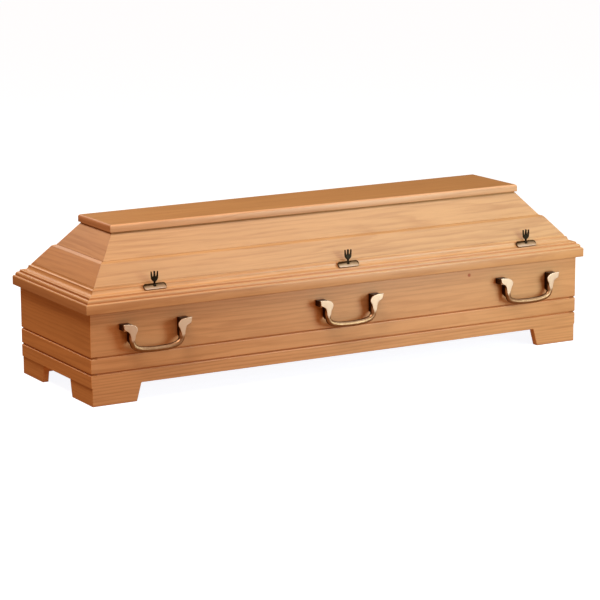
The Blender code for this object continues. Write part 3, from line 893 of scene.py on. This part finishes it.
def plate_master():
    """Make one domed screw plate with round ends, leaning as it does on the cove."""
    x, z = PLATE_LENGTH / 2 - PLATE_ROUND, PLATE_WIDTH / 2 - PLATE_ROUND
    radii = (PLATE_ROUND, PLATE_ROUND)
    outline = [
        *arc((x, z), radii, 0, 90, 8),
        *arc((-x, z), radii, 90, 180, 8),
        *arc((-x, -z), radii, 180, 270, 8),
        *arc((x, -z), radii, 270, 360, 8),
    ]
    lean = Matrix.Rotation(screw_seat()[2] - math.radians(90), 4, "X")
    bm = bmesh.new()
    slab(bm, outline, PLATE, lean @ Matrix.Translation((0, -JOINT - PLATE / 2, 0)), PLATE_DOME)
    # Only the way a plate faces counts, so all of it is proud and within the upper part: its lower
    # edge, turned to the front, is painted bright and its upper face dark, painted light and shade
    always = (-PLATE_WIDTH, -PLATE_WIDTH / 2)
    plate = to_object(bm, "screw_plate")
    return paint_wear_and_light(plate, facing=(0.62, 1.05), proud=always, upper_part=always)


def screw_master():
    """Make one lid screw, with its origin in the middle of its plate's seat."""
    bm = bmesh.new()
    turns = [math.tau * step / STEM_SIDES for step in range(STEM_SIDES)]
    stem = smooth([(wide * STEM_RADIUS, z) for wide, z in STEM_PROFILE], 4)
    skin(bm, [[(r * math.cos(turn), r * math.sin(turn), z) for turn in turns] for r, z in stem])
    right = [(CROWN_WIDTH / 2 * out, CROWN_HEIGHT * up) for out, up in CROWN_OUTLINE]
    outline = right + [(-x, z) for x, z in right[::-1]]
    slab(bm, outline, CROWN, Matrix.Translation((0, 0, STEM_LENGTH)))
    return cast(bm, "lid_screw", grit=0.0006, keep=0.6)


def fitting_row():
    """Make the node tree that repeats a fitting along a side of the coffin."""
    tree = bpy.data.node_groups.new("fittings_in_a_row", "GeometryNodeTree")
    for name, kind in (
        ("Geometry", "NodeSocketGeometry"),
        ("Count", "NodeSocketInt"),
        ("First Place", "NodeSocketVector"),
        ("Step", "NodeSocketVector"),
        ("Turn", "NodeSocketFloat"),
        ("Finish", "NodeSocketMaterial"),
    ):
        tree.interface.new_socket(name, in_out="INPUT", socket_type=kind)
    tree.interface.new_socket("Geometry", in_out="OUTPUT", socket_type="NodeSocketGeometry")
    given = node(tree, "NodeGroupInput").outputs
    line = node(
        tree,
        "GeometryNodeMeshLine",
        {
            "Count": given["Count"],
            "Start Location": given["First Place"],
            "Offset": given["Step"],
        },
    ).outputs[0]
    turn = node(tree, "ShaderNodeCombineXYZ", {"Z": given["Turn"]}).outputs[0]
    copies = node(
        tree,
        "GeometryNodeInstanceOnPoints",
        {"Points": line, "Instance": given["Geometry"], "Rotation": turn},
    ).outputs[0]
    solid = node(tree, "GeometryNodeRealizeInstances", {"Geometry": copies}).outputs[0]
    finished = node(
        tree, "GeometryNodeSetMaterial", {"Geometry": solid, "Material": given["Finish"]}
    ).outputs[0]
    node(tree, "NodeGroupOutput", {"Geometry": finished})
    return tree


def line_up(master, tree, word, side, shift, inset, height, finish):
    """Repeat a fitting along one side, and return the row as one plain mesh."""
    metal = bpy.context.scene.coffin_metal
    row = bpy.data.objects.new(f"{master.name}s_{word}", master.data)
    bpy.context.scene.collection.objects.link(row)
    step = metal.fitting_spacing
    first = shift - step
    values = {
        "Count": metal.fitting_count,
        "First Place": (first, side_plane(first, side, inset), height),
        "Step": (step, side * step * math.tan(TAPER), 0.0),
        "Turn": side * TAPER + (math.pi if side > 0 else 0.0),
        "Finish": finish,
    }
    repeat = row.modifiers.new("row", "NODES")
    repeat.node_group = tree
    for socket in tree.interface.items_tree:
        if socket.in_out == "INPUT" and socket.name in values:
            repeat[socket.identifier] = values[socket.name]
    return bake(row)


def polar(azimuth, elevation, distance):
    """Return a point by its azimuth from the front and its elevation, in radians."""
    level = math.cos(elevation) * distance
    return Vector(
        (math.sin(azimuth) * level, -math.cos(azimuth) * level, math.sin(elevation) * distance)
    )


class COFFIN_OT_box(bpy.types.Operator):
    """Sand and lacquer the boards of the box"""

    bl_idname = "coffin.box"
    bl_label = "Finish Box"

    def execute(self, context):
        knot = (KNOT_X, -half_width(KNOT_X), KNOT_HEIGHT)
        middle = BOX_HEIGHT / 2
        finishes = {}
        for board, side, out, mark in (
            ("side_board_front", "front", half_width(0), knot),
            ("side_board_back", "back", half_width(0), None),
            ("end_board_foot", "foot", BOX_HALF, None),
            ("end_board_head", "head", BOX_HALF, None),
        ):
            name = "lacquered_oak_" + board
            stain_and_shade, seed = STAINS_AND_SHADES["box"][side in ENDS], SEEDS[board]
            finishes[side] = oak(name, side, 0, out, middle, GROOVE_HEIGHTS, stain_and_shade, seed, mark)
            piece = sanded(board, board.replace("board", "planks"), flush=True)
            around = [finishes[side]]
            if side in ENDS:
                around += [finishes["front"], finishes["back"]]
            settle(piece, "box_wood", board, finishes=around)
            if side not in ENDS:
                continue
            # The end grain at the corners, turned to the front or back, takes the side boards'
            # finish and its paler tone, painted light as on the long sides
            for polygon in piece.data.polygons:
                if abs(polygon.normal.y) > 0.8:
                    polygon.material_index = 1 if polygon.normal.y < 0 else 2
        joints, stain_and_shade, seed = BOTTOM_GLUE_LINES, STAINS_AND_SHADES["box"][True], SEEDS["bottom"]
        finish = oak("lacquered_oak_bottom", "front", 90, BOTTOM_FACE, 0.0, joints, stain_and_shade, seed)
        piece = sanded("bottom_board", "bottom_planks")
        settle(piece, "box_wood", "bottom_board", finishes=[finish])
        return {"FINISHED"}


class COFFIN_OT_lid(bpy.types.Operator):
    """Mould and lacquer the rim, the slopes and the top of the lid"""

    bl_idname = "coffin.lid"
    bl_label = "Finish Lid"

    def execute(self, context):
        lean = math.pi / 2 - SLOPE_ANGLE
        profile = rim_profile()
        for n, (side, corners) in enumerate(LID_SIDES.items()):
            end = side in ENDS
            out = BOX_HALF if end else half_width(0)
            rim = mitred("rim_moulding_" + side, profile, corners)
            finishes = []
            for part in ("rim", "moulding"):
                name = f"lacquered_oak_{part}_{side}"
                stain_and_shade, seed = STAINS_AND_SHADES[part][end], SEEDS[part] + n
                finishes.append(oak(name, side, 0, out, BOX_HEIGHT, (), stain_and_shade, seed))
            settle(rim, "box_wood", "lid_rim_" + side, finishes=finishes)
            # Faces turned up take the moulding's paler, bluer tone, a painted sheen; the others keep
            # the rim's
            for polygon in rim.data.polygons:
                polygon.material_index = 1 if polygon.normal.z > 0.15 else 0
            for tier, height in TIER_HEIGHTS.items():
                part, board = tier + "_slope", f"lid_{tier}_slope_{side}"
                low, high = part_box(board)
                edge = max(-low.x, high.x) if end else max(-low.y, high.y)
                # In grain space a slope's face lies square to its own lean
                face = edge * math.cos(lean) + low.z * math.sin(lean)
                middle = height * math.cos(lean) - (edge - TIER_INSET) * math.sin(lean)
                name, tilt = f"lacquered_oak_{part}_{side}", math.degrees(lean)
                stain_and_shade, seed = STAINS_AND_SHADES[part][end], SEEDS[part] + n
                finish = oak(name, side, tilt, face, middle, (), stain_and_shade, seed)
                piece = sanded(board, f"{part}_{side}")
                settle(piece, "lid_wood", board, finishes=[finish])
        top = top_board("top_planks")
        name, height, seed = "lacquered_oak_top", TOP_HIGH.z, SEEDS["top"]
        finishes = [oak(name, "front", 90, height, 0.0, TOP_GLUE_LINES, TOP_STAIN_AND_SHADE, seed)]
        # Lit and shaded copies for the lip: a pale, bluer one for the long sides, painted light, and
        # a darker one for the ends, painted shade
        for side, out in (("front", TOP_HIGH.y), ("foot", TOP_HIGH.x)):
            name = "lacquered_oak_lip_" + side
            stain_and_shade, seed = STAINS_AND_SHADES["lip"][side in ENDS], SEEDS["lip"]
            finishes.append(oak(name, side, 0, out, height, (), stain_and_shade, seed))
        settle(top, "lid_wood", "lid_top_board", finishes=finishes)
        # Lip faces turned to the ends take the darker copy, painted shade, and the others the pale
        # one, painted light
        for polygon in top.data.polygons:
            if abs(polygon.normal.z) <= 0.9:
                end = abs(polygon.normal.x) > abs(polygon.normal.y)
                polygon.material_index = 2 if end else 1
        return {"FINISHED"}


class COFFIN_OT_fittings(bpy.types.Operator):
    """Cast the handles, screw plates and lid screws, and line them up along both sides"""

    bl_idname = "coffin.fittings"
    bl_label = "Make Fittings"

    def execute(self, context):
        tree = fitting_row()
        brass, bronze = cast_brass(), dark_bronze()
        inset, seat, _ = screw_seat()
        masters = (
            (handle_master(), "handle", brass, "antique_brass", 0.0, 0.0, HANDLE_TOP_HEIGHT),
            (plate_master(), "screw_plate", brass, "antique_brass", SCREW_SHIFT, inset, seat),
            (screw_master(), "lid_screw", bronze, "dark_bronze", SCREW_SHIFT, inset, seat),
        )
        for master, label, finish, slot, shift, depth, height in masters:
            for side, word in ((-1, "front"), (1, "back")):
                row = line_up(master, tree, word, side, shift, depth, height, finish)
                nodes = [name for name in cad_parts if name.startswith(f"{label}_{word}")]
                settle(row, slot, *nodes)
            bpy.data.objects.remove(master)
        return {"FINISHED"}


class COFFIN_OT_stage(bpy.types.Operator):
    """Set the floor, the lights and the camera"""

    bl_idname = "coffin.stage"
    bl_label = "Set Stage"

    def execute(self, context):
        scene = context.scene
        scene.view_settings.view_transform = "Standard"
        # A dim warm room all round, which fills the shadows
        world = bpy.data.worlds.new("warm_room")
        scene.world = world
        world.use_nodes = True
        sky = world.node_tree.nodes["Background"]
        sky.inputs["Color"].default_value = linear("#FFAD69")
        sky.inputs["Strength"].default_value = 0.36

        bm = bmesh.new()
        bmesh.ops.create_grid(bm, x_segments=1, y_segments=1, size=300.0)
        mesh = bpy.data.meshes.new("floor")
        bm.to_mesh(mesh)
        bm.free()
        floor = bpy.data.objects.new("floor", mesh)
        scene.collection.objects.link(floor)
        # Matt paint, lit from within to a plain white that keeps only a breath of shadow
        material, _, shader = new_material("white_studio_paint")
        shader.inputs["Base Color"].default_value = linear("#A8ACB0")
        shader.inputs["Roughness"].default_value = 0.9
        shader.inputs["Emission Color"].default_value = linear("#F3FAFF")
        shader.inputs["Emission Strength"].default_value = 0.95
        mesh.materials.append(material)
        floor.visible_diffuse = False
        floor.visible_glossy = False

        for name, azimuth, elevation, distance, size, power, tint in LAMPS:
            lamp = bpy.data.lights.new(name, "AREA")
            lamp.shape = "DISK"
            lamp.size = size
            lamp.energy = power
            lamp.color = linear(tint)[:3]
            light = bpy.data.objects.new(name, lamp)
            scene.collection.objects.link(light)
            away = polar(math.radians(azimuth), math.radians(elevation), distance)
            light.location = LAMP_AIM + away
            light.rotation_euler = (-away).to_track_quat("-Z", "Y").to_euler()

        lens = bpy.data.cameras.new("camera")
        lens.sensor_width = SENSOR
        lens.lens = FOCAL_PIXELS / PICTURE_PIXELS * SENSOR
        lens.clip_end = 100.0
        camera = bpy.data.objects.new("camera", lens)
        scene.collection.objects.link(camera)
        settings = scene.coffin_stage
        away = polar(settings.azimuth, settings.elevation, CAMERA_DISTANCE)
        camera.location = CAMERA_AIM + away
        roll = Matrix.Rotation(CAMERA_ROLL, 3, "Z")
        look = (-away).to_track_quat("-Z", "Y").to_matrix()
        camera.rotation_euler = (look @ roll).to_euler()
        scene.camera = camera
        return {"FINISHED"}


class COFFIN_PT_panel(bpy.types.Panel):
    """The coffin's settings and steps, in order"""

    bl_idname = "COFFIN_PT_panel"
    bl_label = "Coffin"
    bl_space_type = "VIEW_3D"
    bl_region_type = "UI"
    bl_category = "Coffin"

    def draw(self, context):
        column = self.layout.column()
        for group in SETTINGS:
            settings = getattr(context.scene, group)
            for name in settings.__annotations__:
                column.prop(settings, name)
        for step in STEPS:
            column.operator(step.bl_idname)


SETTINGS = {
    "coffin_wood": CoffinWood,
    "coffin_metal": CoffinMetal,
    "coffin_stage": CoffinStage,
}
STEPS = (COFFIN_OT_box, COFFIN_OT_lid, COFFIN_OT_fittings, COFFIN_OT_stage)
CLASSES = (*SETTINGS.values(), *STEPS, COFFIN_PT_panel)


def register():
    """Register the classes and the settings."""
    for item in CLASSES:
        bpy.utils.register_class(item)
    for name, group in SETTINGS.items():
        setattr(bpy.types.Scene, name, bpy.props.PointerProperty(type=group))


def unregister():
    """Take the settings and the classes away again."""
    for name in SETTINGS:
        delattr(bpy.types.Scene, name)
    for item in reversed(CLASSES):
        bpy.utils.unregister_class(item)


def main():
    """Build everything."""
    register()
    bpy.ops.coffin.box()
    bpy.ops.coffin.lid()
    bpy.ops.coffin.fittings()
    bpy.ops.coffin.stage()


if __name__ == "__main__":
    main()
